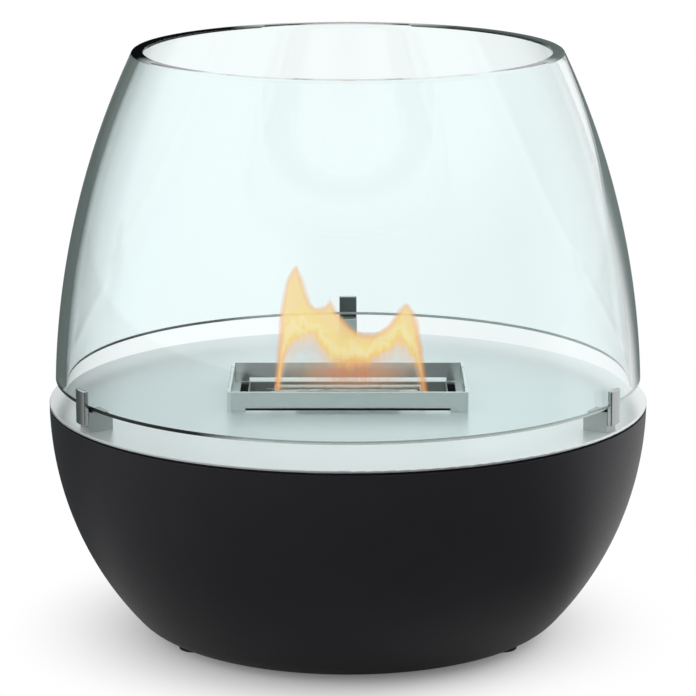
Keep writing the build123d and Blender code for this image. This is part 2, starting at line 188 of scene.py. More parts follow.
# grain and grit of real sheet are too fine to show, so these are drawn up to ten times as coarse
satinPlate = {  # stainless sheet, bead-blasted to an even satin: soft pale reflections
    "colours": ("#E6EBEB", "#E1E6E6"), "roughness": (0.31, 0.36), "metal": 0.75,
    "grainLength": 1.2, "grainWidth": 0.8, "bump": 0.006,
}
satinSheet = {  # cold-rolled stainless sheet in the guard, its faint rolling grain along the walls
    "colours": ("#E0E4E2", "#DBDFDD"), "roughness": (0.2, 0.24), "metal": 0.7,
    "grainLength": 14, "grainWidth": 0.12, "bump": 0.004,
}
burnerSheet = {  # stainless sheet dulled by heat: grey and nearly without shine
    "colours": ("#9A9D9B", "#8A8D8A"), "roughness": (0.42, 0.52), "metal": 0.3,
    "grainLength": 9, "grainWidth": 0.3, "bump": 0.02,
}
flameBoxSheet = {  # the same steel polished: a bright rim round the flame's slot
    "colours": ("#D8DAD6", "#CCCDC8"), "roughness": (0.22, 0.30), "metal": 0.85,
    "grainLength": 9, "grainWidth": 0.3, "bump": 0.01,
}
castClip = {  # die-cast zinc, satin nickel plated: an even grey gloss
    "colours": ("#C6CCCA", "#B8BEBC"), "roughness": (0.40, 0.46), "metal": 1.0,
    "grainLength": 2.5, "grainWidth": 0.3, "bump": 0.01,
}
polishedTab = {  # the same plating, polished on the rounded tabs: it mirrors the room
    "colours": ("#C6CCCA", "#BAC0BE"), "roughness": (0.14, 0.20), "metal": 1.0,
    "grainLength": 2.5, "grainWidth": 0.3, "bump": 0.01,
}
zincPlate = {  # zinc-plated screws and nuts: bluish, slightly cloudy
    "colours": ("#B4BABF", "#9AA1A8"), "roughness": (0.28, 0.42), "metal": 1.0,
    "grainLength": 1.2, "grainWidth": 0.5, "bump": 0.02,
}


def metalFinish(name, look):
    material, tree, shader, place = newMaterial(name, Metallic=look["metal"])
    length, width = look["grainLength"] * mm, look["grainWidth"] * mm
    along = addNode(tree, "ShaderNodeMapping", {
        "Vector": place, "Scale": (1 / length, 1 / width, 1 / width)}).outputs[0]
    grain = addNode(tree, "ShaderNodeTexNoise", {
        "Vector": along, "Scale": 1.0, "Detail": 3.0, "Roughness": 0.6}).outputs[0]
    clouds = addNode(tree, "ShaderNodeTexNoise", {
        "Vector": place, "Scale": 1 / (clouding["metalSize"] * mm), "Detail": 2.0}).outputs[0]
    faint = addNode(tree, "ShaderNodeMath", {0: clouds, 1: clouding["added"]},
                    operation="MULTIPLY").outputs[0]
    stain = addNode(tree, "ShaderNodeMath", {0: grain, 1: clouds, 2: faint},
                    operation="MULTIPLY_ADD").outputs[0]
    patternedSurface(tree, shader, stain, grain, look)
    return material


powderCoat = {  # matte polyester powder: near-black, fine orange peel, a broad soft sheen
    "colours": ("#232226", "#1D1C20"), "roughness": (0.38, 0.46), "peel": 1.1,
    "bump": 0.12, "shine": 0.3,
}
footRubberLook = {  # moulded rubber: dark and quite matt
    "colours": ("#1F1F21", "#161617"), "roughness": (0.62, 0.78), "peel": 0.6,
    "bump": 0.2, "shine": 0.35,
}
siliconeAndShadeLook = {  # moulded black silicone: a satin black; lining the tabs' faces towards the glass it is also painted shade, which makes those faces black
    "colours": ("#0E0F10", "#090A0A"), "roughness": (0.5, 0.62), "peel": 0.5,
    "bump": 0.15, "shine": 0.2,
}
darkSheetLook = {  # mild steel sheet, a dull near-black
    "colours": ("#24262A", "#141516"), "roughness": (0.55, 0.72), "peel": 2.5,
    "bump": 0.15, "shine": 0.3,
}


def darkFinish(name, look):
    material, tree, shader, place = newMaterial(name, Specular_IOR_Level=look["shine"])
    peel = addNode(tree, "ShaderNodeTexNoise", {
        "Vector": place, "Scale": 1 / (look["peel"] * mm), "Detail": 2.0}).outputs[0]
    clouds = addNode(tree, "ShaderNodeTexNoise", {
        "Vector": place, "Scale": 1 / (clouding["darkSize"] * mm), "Detail": 3.0}).outputs[0]
    patternedSurface(tree, shader, clouds, peel, look)
    return material


shadeGlassLook = {  # spun soda-lime glass: clear, faintly blue-green, in long faint waves
    "clear": "#F8FFFF", "ior": 1.47, "waveLength": 55, "waveDepth": 1, "wave": 0.02,
    "dustSize": 30, "dust": (0.0, 0.02),
}


def clearGlass(name, look):
    material, tree, shader, place = newMaterial(name, IOR=look["ior"], Transmission_Weight=1.0)
    shader.inputs["Base Color"].default_value = hexColour(look["clear"])
    dust = addNode(tree, "ShaderNodeTexNoise", {
        "Vector": place, "Scale": 1 / (look["dustSize"] * mm), "Detail": 3.0}).outputs[0]
    least, most = look["dust"]
    roughness = addNode(tree, "ShaderNodeMapRange", {
        "Value": dust, **patternMiddle, "To Min": least, "To Max": most})
    tree.links.new(roughness.outputs[0], shader.inputs["Roughness"])
    waves = addNode(tree, "ShaderNodeTexNoise", {
        "Vector": place, "Scale": 1 / (look["waveLength"] * mm), "Detail": 1.0}).outputs[0]
    bump = addNode(tree, "ShaderNodeBump", {
        "Height": waves, "Strength": look["wave"], "Distance": look["waveDepth"] * mm})
    tree.links.new(bump.outputs[0], shader.inputs["Normal"])
    # rays from the lamps pass it as through a window, so that the plate inside is lit
    lampRay = addNode(tree, "ShaderNodeLightPath").outputs["Is Shadow Ray"]
    window = addNode(tree, "ShaderNodeBsdfTransparent", {"Color": hexColour(look["clear"])})
    mixed = addNode(tree, "ShaderNodeMixShader", {
        0: lampRay, 1: shader.outputs[0], 2: window.outputs[0]})
    output = next(node for node in tree.nodes if node.type == "OUTPUT_MATERIAL")
    tree.links.new(mixed.outputs[0], output.inputs["Surface"])
    return material


footShadeLook = {  # the shade's foot is ground, with painted shade: dark at its left, pale and frosted-looking from there on (x in mm)
    "colours": ("#101615", "#CDD5D3"), "shadedTo": -85, "paleFrom": -55,
    "roughness": (0.3, 0.45), "grain": 0.8, "uneven": 0.2, "bump": 0.05,  # grit drawn coarse
}


def paintedShadeGlass(name, look):
    material, tree, shader, place = newMaterial(name, IOR=shadeGlassLook["ior"])
    grain = addNode(tree, "ShaderNodeTexNoise", {
        "Vector": place, "Scale": 1 / (look["grain"] * mm), "Detail": 2.0}).outputs[0]
    across = addNode(tree, "ShaderNodeSeparateXYZ", {"Vector": place}).outputs["X"]
    # painted shade: the foot is dark at its left and pale from there on, along x
    paleShare = addNode(tree, "ShaderNodeMapRange", {
        "Value": across, "From Min": look["shadedTo"] * mm,
        "From Max": look["paleFrom"] * mm}).outputs[0]
    specks = addNode(tree, "ShaderNodeMath", {0: grain, 1: look["uneven"]},
                     operation="MULTIPLY").outputs[0]
    share = addNode(tree, "ShaderNodeMath", {0: paleShare, 1: specks}, operation="SUBTRACT",
                    use_clamp=True).outputs[0]
    patternedSurface(tree, shader, share, grain, look)
    return material


rimShadeLook = {  # glass rim with painted shade: near-black at its left end, dark grey at its right end and pale grey between, by direction round the axis
    "tones": [
        (0.0, "#0B0E0E"), (0.045, "#0B0E0E"), (0.075, "#AEB7B5"), (0.43, "#AEB7B5"),
        (0.455, "#5B6462"), (0.66, "#4A5250"), (0.70, "#AEB7B5"), (0.82, "#AEB7B5"),
        (0.85, "#0B0E0E"), (1.0, "#0B0E0E"),
    ],
    "leftEnd": (0.82, 0.075), "rightEnd": (0.43, 0.70), "roughness": (0.2, 0.3), "waves": 4.0,
}


def paintedShadeRim(name, look):
    material, tree, shader, place = newMaterial(
        name, IOR=shadeGlassLook["ior"], Specular_IOR_Level=0.0)
    # painted shade, by direction round the axis
    tree.links.new(tonesAround(tree, place, look["tones"]), shader.inputs["Base Color"])
    waves = addNode(tree, "ShaderNodeTexNoise", {
        "Vector": place, "Scale": 1 / (look["waves"] * mm), "Detail": 2.0}).outputs[0]
    least, most = look["roughness"]
    roughness = addNode(tree, "ShaderNodeMapRange", {
        "Value": waves, **patternMiddle, "To Min": least, "To Max": most})
    tree.links.new(roughness.outputs[0], shader.inputs["Roughness"])
    return material


woolLook = {  # aluminosilicate wool: white, very matt; its fibres are drawn as strands of many
    "colours": ("#F8F6F1", "#E2DED6"), "roughness": 0.95, "sheen": 0.3,
    "strandLength": 6, "strandWidth": 0.35, "tangle": 1.5, "tufts": 7, "bump": 0.3, "relief": 0.15,
}


def ceramicFibre(name, look):
    material, tree, shader, place = newMaterial(
        name, Roughness=look["roughness"], Sheen_Weight=look["sheen"])
    length, width = look["strandLength"] * mm, look["strandWidth"] * mm
    along = addNode(tree, "ShaderNodeMapping", {
        "Vector": place, "Scale": (1 / length, 1 / width, 1 / width)}).outputs[0]
    strands = addNode(tree, "ShaderNodeTexNoise", {
        "Vector": along, "Scale": 1.0, "Detail": 4.0, "Distortion": look["tangle"]}).outputs[0]
    tufts = addNode(tree, "ShaderNodeTexNoise", {
        "Vector": place, "Scale": 1 / (look["tufts"] * mm), "Detail": 3.0}).outputs[0]
    first, second = look["colours"]
    colour = addNode(tree, "ShaderNodeMix", {
        "Factor": strands, 6: hexColour(first), 7: hexColour(second)}, data_type="RGBA")
    tree.links.new(colour.outputs[2], shader.inputs["Base Color"])
    height = addNode(tree, "ShaderNodeMath", {0: strands, 1: tufts}, operation="ADD").outputs[0]
    bump = addNode(tree, "ShaderNodeBump", {
        "Height": height, "Strength": look["bump"], "Distance": look["relief"] * mm})
    tree.links.new(bump.outputs[0], shader.inputs["Normal"])
    return material


plateSteel = metalFinish("satin_steel_plate", satinPlate)
guardSteel = metalFinish("satin_steel_sheet", satinSheet)
burnerSteel = metalFinish("heated_steel_sheet", burnerSheet)
flameBoxSteel = metalFinish("polished_rim_steel", flameBoxSheet)
clipMetal = metalFinish("satin_nickel_clip", castClip)
tabMetal = metalFinish("polished_nickel_tab", polishedTab)
zincSteel = metalFinish("zinc_plated_steel", zincPlate)
blackPowder = darkFinish("matte_black_powder_coat", powderCoat)
footRubber = darkFinish("moulded_rubber", footRubberLook)
siliconeAndShade = darkFinish("silicone_pad_and_painted_shade", siliconeAndShadeLook)
housingSteel = darkFinish("dull_black_steel", darkSheetLook)
shadeGlass = clearGlass("spun_shade_glass", shadeGlassLook)
footShadeGlass = paintedShadeGlass("glass_foot_painted_shade", footShadeLook)
rimShadeGlass = paintedShadeRim("glass_rim_painted_shade", rimShadeLook)
fibreWool = ceramicFibre("ceramic_fibre", woolLook)

slotMaterials = {
    "black_powder_coat": blackPowder, "rubber": footRubber, "zinc_steel": zincSteel,
    "brushed_plate": plateSteel, "shade_glass": shadeGlass, "clip_metal": clipMetal,
    "pad_rubber": siliconeAndShade, "guard_steel": guardSteel, "dark_steel": housingSteel,
    "burner_steel": burnerSteel, "ceramic_wool": fibreWool,
}
for part in frame["record"]["subparts"]:
    mesh = nodes[part["node"]].data
    mesh.materials.clear()
    mesh.materials.append(slotMaterials[part["material_slot"]])
print("materials done")


# base bowl: the wall's ellipse, a round corner and the flat bottom, turned round the axis

bowl = {
    "radius": 175.0, "curveDepth": 183.8, "cornerRadius": 30.0, "cornerSteps": 10,
    "cornerBetween": (10, 80), "wall": 2.0, "rimRound": 0.4, "rimAngle": 60,
    "around": 256, "rings": 96, "merge": 0.02, "onCut": 0.0001,
}


def cornerCentre(foot):
    # the corner's circle touches the flat bottom and, from inside, the ellipse
    wide, deep, corner = bowl["radius"] * mm, bowl["curveDepth"] * mm, bowl["cornerRadius"] * mm
    low, high = (math.radians(angle) for angle in bowl["cornerBetween"])
    for halving in range(40):
        turn = (low + high) / 2
        touch = Vector((wide * math.cos(turn), 0, plateTop - deep * math.sin(turn)))
        inward = Vector((-math.cos(turn) / wide, 0, math.sin(turn) / deep)).normalized()
        centre = touch + inward * corner
        low, high = (turn, high) if centre.z > foot + corner else (low, turn)
    return centre, touch


def makeBowl():
    low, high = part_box("base_bowl")
    centre, touch = cornerCentre(low.z)
    merge = bowl["merge"] * mm
    bm = bmesh.new()
    bmesh.ops.create_circle(bm, segments=4 * bowl["rings"], radius=1.0)
    bmesh.ops.rotate(bm, matrix=Matrix.Rotation(math.pi / 2, 3, "X"), verts=bm.verts)
    bmesh.ops.scale(bm, vec=Vector((bowl["radius"], 1, bowl["curveDepth"])) * mm, verts=bm.verts)
    bmesh.ops.translate(bm, vec=(0, 0, plateTop), verts=bm.verts)
    cuts = (((0, 0, high.z), (0, 0, 1)), (touch, (0, 0, -1)), ((0, 0, 0), (-1, 0, 0)))
    for point, side in cuts:
        bmesh.ops.bisect_plane(bm, geom=bm.verts[:] + bm.edges[:], dist=bowl["onCut"] * mm,
                               plane_co=point, plane_no=side, clear_outer=True)
    foot = bmesh.ops.create_vert(bm, co=(0, 0, low.z))["vert"][0]
    start = bmesh.ops.create_vert(bm, co=(centre.x, 0, low.z))["vert"][0]
    bmesh.ops.contextual_create(bm, geom=[foot, start])
    swing = (touch - centre).angle(Vector((0, 0, -1)))
    bmesh.ops.spin(bm, geom=[start], cent=centre, axis=(0, -1, 0), angle=swing,
                   steps=bowl["cornerSteps"])
    bmesh.ops.remove_doubles(bm, verts=bm.verts, dist=merge)
    bmesh.ops.spin(bm, geom=bm.verts[:] + bm.edges[:], cent=(0, 0, 0), axis=(0, 0, 1),
                   dvec=(0, 0, 0), angle=2 * math.pi, steps=bowl["around"], use_merge=True)
    bmesh.ops.remove_doubles(bm, verts=bm.verts, dist=merge)
    bmesh.ops.recalc_face_normals(bm, faces=bm.faces)
    bmesh.ops.solidify(bm, geom=bm.faces[:], thickness=bowl["wall"] * mm)
    bmesh.ops.bevel(bm, geom=sharpEdges(bm, bowl["rimAngle"]), offset=bowl["rimRound"] * mm,
                    offset_type="OFFSET", affect="EDGES", segments=3, profile=0.5, material=-1)
    return bm


bowlPiece = finishMesh("bowl", makeBowl(), [blackPowder], smoothAngle=40)
keep(bowlPiece, "base", "black_powder_coat", "base_bowl")


# glass shade: two arcs turned round the axis, with cut ends

shade = {
    "curveRadius": 480.0, "curveDrop": 2.7, "wall": 6.0, "edgeRound": 1.2, "edgeAngle": 50,
    "rings": 40, "around": 256, "merge": 0.01, "facing": 0.15,
}
shadeLow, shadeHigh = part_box("glass_shade")


def makeShade():
    curveHeight = plateTop - shade["curveDrop"] * mm
    rise = shadeLow.z - curveHeight
    outer = shade["curveRadius"] * mm
    centre = Vector((shadeHigh.x - math.sqrt(outer ** 2 - rise ** 2), 0, curveHeight))
    bm = bmesh.new()
    ends = []
    for radius in (outer, outer - shade["wall"] * mm):
        first, last = (math.asin((z - curveHeight) / radius) for z in (shadeLow.z, shadeHigh.z))
        start = centre + Vector((radius * math.cos(first), 0, radius * math.sin(first)))
        vert = bmesh.ops.create_vert(bm, co=start)["vert"][0]
        arc = bmesh.ops.spin(bm, geom=[vert], cent=centre, axis=(0, -1, 0), angle=last - first,
                             steps=shade["rings"])
        tip = next(item for item in arc["geom_last"] if isinstance(item, bmesh.types.BMVert))
        ends.append((vert, tip))
    for end in (0, 1):
        bmesh.ops.contextual_create(bm, geom=[ends[0][end], ends[1][end]])
    bmesh.ops.spin(bm, geom=bm.verts[:] + bm.edges[:], cent=(0, 0, 0), axis=(0, 0, 1),
                   dvec=(0, 0, 0), angle=2 * math.pi, steps=shade["around"], use_merge=True)
    bmesh.ops.remove_doubles(bm, verts=bm.verts, dist=shade["merge"] * mm)
    bmesh.ops.recalc_face_normals(bm, faces=bm.faces)
    bmesh.ops.bevel(bm, geom=sharpEdges(bm, shade["edgeAngle"]), offset=shade["edgeRound"] * mm,
                    offset_type="OFFSET", affect="EDGES", segments=3, profile=0.5, material=-1)
    return bm


def onFoot(middle, normal):
    return middle.z < shadeLow.z + shade["edgeRound"] * mm and normal.z < -shade["facing"]


def onRimEnds(middle, normal):
    turn = (math.atan2(middle.y, middle.x) / (2 * math.pi) + 0.5) % 1
    atLeft = turn > rimShadeLook["leftEnd"][0] or turn < rimShadeLook["leftEnd"][1]
    atRight = rimShadeLook["rightEnd"][0] < turn < rimShadeLook["rightEnd"][1]
    onTop = middle.z > shadeHigh.z - shade["edgeRound"] * mm and normal.z > shade["facing"]
    return onTop and (atLeft or atRight)


shadePiece = finishMesh("shade", makeShade(), [shadeGlass], smoothAngle=40)
# the foot gets its painted shade
lineFaces(shadePiece, footShadeGlass, onFoot)
# the rim's two ends get their painted shade
lineFaces(shadePiece, rimShadeGlass, onRimEnds)
keep(shadePiece, "glass", "shade_glass", "glass_shade")
print("bowl and shade done")


# sheet metal and castings keep their CAD shape, with broken edges: name, material, width in mm

copies = {
    "top_plate": ("plate", plateSteel, 0.12),
    "guard_front": ("guard_wall_front", guardSteel, 0.3),
    "guard_rear": ("guard_wall_rear", guardSteel, 0.3),
    "guard_left": ("guard_wall_left", guardSteel, 0.3),
    "guard_right": ("guard_wall_right", guardSteel, 0.3),
    "burner_tank": ("tank", burnerSteel, 0.12),
    "flame_box": ("flame_box_shell", flameBoxSteel, 0.5),
    "burner_cover": ("tank_cover", burnerSteel, 0.12),
    "damper_plate": ("damper", burnerSteel, 0.2),
    "heat_shield": ("shield", housingSteel, 0.15),
}
for place in ("rear", "left", "right"):
    copies[f"clip_block_{place}"] = (f"clip_{place}", clipMetal, 0.2)
    copies[f"clip_tab_{place}"] = (f"tab_{place}", tabMetal, 0.25)
    copies[f"foot_{place}"] = (f"foot_pad_{place}", footRubber, 0.2)
behaviour = frame["record"]["behaviour"]
bodyOf = {node: body for body, members in behaviour["bodies"].items() for node in members}
slotOf = {part["node"]: part["material_slot"] for part in frame["record"]["subparts"]}
pieces = {}
for node, (name, material, width) in copies.items():
    copy = dressedCopy(node, name, material, width)
    pieces[name] = keep(copy, bodyOf[node], slotOf[node], node)

# the tank's walls are near-black on their outer part below the plate, and a silicone lining keeps
# the glass off the tabs and is also painted shade on their faces towards the glass
tankLow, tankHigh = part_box("burner_tank")
tankMiddle = (tankLow + tankHigh) / 2
lining = {"tankSheet": 0.8, "outerShare": 0.4, "inward": -0.9}


def outsideTank(middle, normal):
    # in the outer part of a wall's thickness, below the plate
    sheet = lining["tankSheet"] * mm
    depth = lining["outerShare"] * sheet
    outer = [abs(middle[i] - tankMiddle[i]) > (tankHigh[i] - tankLow[i]) / 2 - depth for i in (0, 1)]
    return middle.z < plateTop - sheet and any(outer)


def againstGlass(middle, normal):
    return normal.xy.dot(middle.xy.normalized()) < lining["inward"]


# the outer part of the tank's walls below the plate goes near-black
lineFaces(pieces["tank"], housingSteel, outsideTank)
for place in ("rear", "left", "right"):
    # painted shade: the tabs' faces towards the glass are lined in black silicone
    lineFaces(pieces[f"tab_{place}"], siliconeAndShade, againstGlass)
print("sheet metal done")


# ceramic fibre: matted wool in the tank, with a neck up through the flame box and loose fibres

wool = {
    "coverGap": 10.1, "neckWidth": 84.0, "neckFrom": -26.5, "neckTo": 15.0,
    "cuts": 28, "lumps": 5.0, "lumpDepth": 1.1, "lumpFractal": (0.6, 2.1, 4), "seed": 11,
    # loose fibres, thicker than real ones, lie at the neck's top: arcs of radius curl, which turn
    # by swing in radians
    "fibres": 620, "fibreRadius": 0.13, "fibrePoints": 7, "curl": (1.5, 6.0), "swing": (0.7, 2.6),
    "lift": (0.02, 0.12), "sunk": (0.3, 0.9),
}


def looseFibres(least, most):
    draw = random.Random(wool["seed"])
    strands = bpy.data.curves.new("loose_fibres", "CURVE")
    strands.dimensions = "3D"
    strands.bevel_depth = wool["fibreRadius"] * mm
    strands.bevel_resolution = 0
    for fibre in range(wool["fibres"]):
        spline = strands.splines.new("POLY")
        spline.points.add(wool["fibrePoints"] - 1)
        curl = draw.uniform(*wool["curl"]) * mm
        turn = draw.uniform(0, 2 * math.pi)
        swing = draw.uniform(*wool["swing"])
        lift = draw.uniform(*wool["lift"])
        start = Vector((draw.uniform(least.x, most.x), draw.uniform(least.y, most.y),
                        most.z - draw.uniform(*wool["sunk"]) * mm))
        for step, point in enumerate(spline.points):
            angle = turn + swing * step / (wool["fibrePoints"] - 1)
            reach = Vector((math.cos(angle) - math.cos(turn), math.sin(angle) - math.sin(turn),
                            lift * math.sin(3 * angle)))
            point.co = (*(start + reach * curl), 1)
    holder = bpy.data.objects.new("loose_fibres", strands)
    mesh = bpy.data.meshes.new_from_object(holder)
    bpy.data.objects.remove(holder)
    bpy.data.curves.remove(strands)
    return mesh


def makeWool():
    low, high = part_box("ceramic_wool")
    half = wool["neckWidth"] / 2 * mm
    body = (low, Vector((high.x, high.y, high.z - wool["coverGap"] * mm)))
    neck = (Vector((-half, wool["neckFrom"] * mm, low.z)),
            Vector((half, wool["neckTo"] * mm, high.z)))
    bm = bmesh.new()
    for least, most in (body, neck):
        corners = bmesh.ops.create_cube(bm, size=1.0)["verts"]
        bmesh.ops.scale(bm, vec=most - least, verts=corners)
        bmesh.ops.translate(bm, vec=(most + least) / 2, verts=corners)
    bmesh.ops.subdivide_edges(bm, edges=bm.edges[:], cuts=wool["cuts"], use_grid_fill=True)
    bm.normal_update()
    for vert in bm.verts:
        lump = 0.5 + 0.5 * noise.fractal(vert.co / (wool["lumps"] * mm), *wool["lumpFractal"])
        vert.co -= vert.normal * min(max(lump, 0), 1) * wool["lumpDepth"] * mm
    bm.from_mesh(looseFibres(*neck))
    for vert in bm.verts:
        vert.co = [min(max(vert.co[axis], low[axis]), high[axis]) for axis in range(3)]
    return bm


woolPiece = finishMesh("fibre_wool", makeWool(), [fibreWool], smoothAngle=180, flatFaces=False)
keep(woolPiece, "burner", "ceramic_wool", "ceramic_wool")
print("fibre done")


# flame: one closed curtain of burning gas over the slot, hollow over the fibre and alight at its
# crest, which the damper smothers

flame = {
    "middleY": 4.5, "baseZ": 1.2, "tipZ": 78, "halfDepth": 4.5, "taper": 0.5, "soft": 9.0,
    "columns": 170, "rows": 70, "outlineSteps": 800, "merge": 0.01, "seed": 7,
    "sway": 3.0, "swaySize": (25, 30), "billow": 0.35, "billowSize": (14, 22), "ripple": 0.9,
    # it glows more above the hollow's top, and warmer in its two legs and in a smear at its foot
    "glowHeight": 40, "legWidth": 7, "legHeight": 50,
    "smearX": 3.0, "smearWidth": 27.0, "smearZ": 13, "smearHeight": 12,
    # x and z in mm from the plate's centre and top: the crest, and the top of the clear hollow
    "crest": [
        (-44, 1), (-43.5, 12), (-42.5, 24), (-41.2, 38), (-40, 51), (-37.5, 65), (-34.5, 73),
        (-29.8, 77.6), (-26.5, 71.5), (-23.5, 61.5), (-20, 53.2), (-15, 53), (-10.4, 57.6),
        (-6.3, 51.5), (0, 43.4), (6, 38.5), (12, 37), (18.3, 38.5), (22.4, 41.3), (26.5, 46.5),
        (30.5, 52.6), (34.6, 55), (38.7, 51), (41.5, 44.4), (43.8, 31.8), (45.5, 18), (46.8, 8),
        (47.5, 1),
    ],
    "hollow": [
        (-41, 0), (-39.5, 14), (-36.5, 26), (-32, 34), (-26.8, 37), (-20.6, 36), (-14.5, 29.7),
        (-8.4, 23.4), (-2.2, 20), (4, 19), (10, 20), (16.3, 23.4), (22.4, 28.7), (28.5, 31.4),
        (33.7, 30.8), (37.8, 25.5), (41, 18), (43.5, 9), (45, 0),
    ],
}
flameLook = {  # a yellow alcohol flame: pale at the crest, orange at its foot, nearly clear inside
    # by height, with 0.5 at the hollow's top
    "tones": [
        (0.0, "#FFCB9E"), (0.40, "#FFCB9E"), (0.49, "#FFD36A"), (0.55, "#FFE08C"),
        (0.66, "#FFE9AE"), (0.78, "#FFE08C"), (0.95, "#FFDC98"),
    ],
    "density": [
        (0.0, 0.02), (0.15, 0.02), (0.38, 0.26), (0.53, 0.74), (0.7, 0.74), (0.95, 0.68),
    ],
    "edge": "#F8983F", "edgeShare": 0.9, "edgeFrom": -0.05, "edgeTo": 0.42,
    "warm": "#EF7230", "warmShare": (0.5, 1.0), "warmDensity": 0.55,
    # patterns of the gas: width and height in mm, and detail
    "lick": (8, 26, 3.0), "streak": (4, 30, 2.0), "blotch": (7, 12, 2.0), "curling": 1.2,
    "waver": 0.35, "mottle": 0.5,
}


def heightAt(points, x):
    # a smooth line through the points, at x
    if not points[0][0] < x < points[-1][0]:
        return points[0][1]
    after = next(i for i, point in enumerate(points) if point[0] >= x)
    (x1, z1), (x2, z2) = points[after - 1], points[after]
    x0, z0 = points[max(after - 2, 0)]
    x3, z3 = points[min(after + 1, len(points) - 1)]
    share, width = (x - x1) / (x2 - x1), x2 - x1
    rise, fall = (z2 - z0) / (x2 - x0) * width, (z3 - z1) / (x3 - x1) * width
    return (z1 * (2 * share ** 3 - 3 * share ** 2 + 1) + z2 * (3 * share ** 2 - 2 * share ** 3)
            + rise * (share ** 3 - 2 * share ** 2 + share) + fall * (share ** 3 - share ** 2))


def flameGas(name, look):
    material, tree, shader, place = newMaterial(
        name, Base_Color=(0, 0, 0, 1), Roughness=1.0, Specular_IOR_Level=0.0,
        Emission_Strength=1.0)
    patterns = {}
    for pattern in ("lick", "streak", "blotch"):
        wide, tall, detail = look[pattern]
        stretched = addNode(tree, "ShaderNodeMapping", {
            "Vector": place, "Scale": (1 / (wide * mm), 1 / (wide * mm), 1 / (tall * mm))})
        patterns[pattern] = addNode(tree, "ShaderNodeTexNoise", {
            "Vector": stretched.outputs[0], "Scale": 1.0, "Detail": detail,
            "Distortion": look["curling"]}).outputs[0]
    layers = {}
    for layer in ("edge", "glow", "warm"):
        layers[layer] = addNode(tree, "ShaderNodeAttribute", attribute_name=layer).outputs["Fac"]
    # the edge and the glow waver together
    waver = addNode(tree, "ShaderNodeMath", {
        0: patterns["lick"], 1: look["waver"], 2: -look["waver"] / 2},
        operation="MULTIPLY_ADD").outputs[0]
    edge = addNode(tree, "ShaderNodeMath", {0: layers["edge"], 1: waver},
                   operation="ADD").outputs[0]
    glow = addNode(tree, "ShaderNodeMath", {0: layers["glow"], 1: waver},
                   operation="ADD").outputs[0]
    least, most = look["warmShare"]
    streaks = addNode(tree, "ShaderNodeMapRange", {
        "Value": patterns["streak"], **patternMiddle, "To Min": least, "To Max": most}).outputs[0]
    warm = addNode(tree, "ShaderNodeMath", {0: layers["warm"], 1: streaks},
                   operation="MULTIPLY").outputs[0]
    thin = addNode(tree, "ShaderNodeMapRange", {
        "Value": edge, "From Min": 0.0, "From Max": look["edgeTo"],
        "To Min": look["edgeShare"], "To Max": 0.0}).outputs[0]
    blotches = addNode(tree, "ShaderNodeMath", {
        0: patterns["blotch"], 1: look["mottle"], 2: -look["mottle"] / 2},
        operation="MULTIPLY_ADD").outputs[0]
    mottled = addNode(tree, "ShaderNodeMath", {0: glow, 1: blotches}, operation="ADD").outputs[0]
    stops = [(position, hexColour(tone)) for position, tone in look["tones"]]
    colour = addNode(tree, "ShaderNodeValToRGB", {"Fac": mottled}, stops).outputs[0]
    for share, tint in ((thin, look["edge"]), (warm, look["warm"])):
        colour = addNode(tree, "ShaderNodeMix", {
            "Factor": share, 6: colour, 7: hexColour(tint)}, data_type="RGBA").outputs[2]
    tree.links.new(colour, shader.inputs["Emission Color"])
    stops = [(position, (grey, grey, grey, 1)) for position, grey in look["density"]]
    dense = addNode(tree, "ShaderNodeValToRGB", {"Fac": glow}, stops).outputs[0]
    warmDense = addNode(tree, "ShaderNodeMath", {0: warm, 1: look["warmDensity"]},
                        operation="MULTIPLY").outputs[0]
    dense = addNode(tree, "ShaderNodeMath", {0: dense, 1: warmDense},
                    operation="MAXIMUM").outputs[0]
    fade = addNode(tree, "ShaderNodeMapRange", {
        "Value": edge, "From Min": look["edgeFrom"], "From Max": look["edgeTo"]},
        interpolation_type="SMOOTHSTEP").outputs[0]
    alpha = addNode(tree, "ShaderNodeMath", {0: dense, 1: fade}, operation="MULTIPLY").outputs[0]
    tree.links.new(alpha, shader.inputs["Alpha"])
    return material


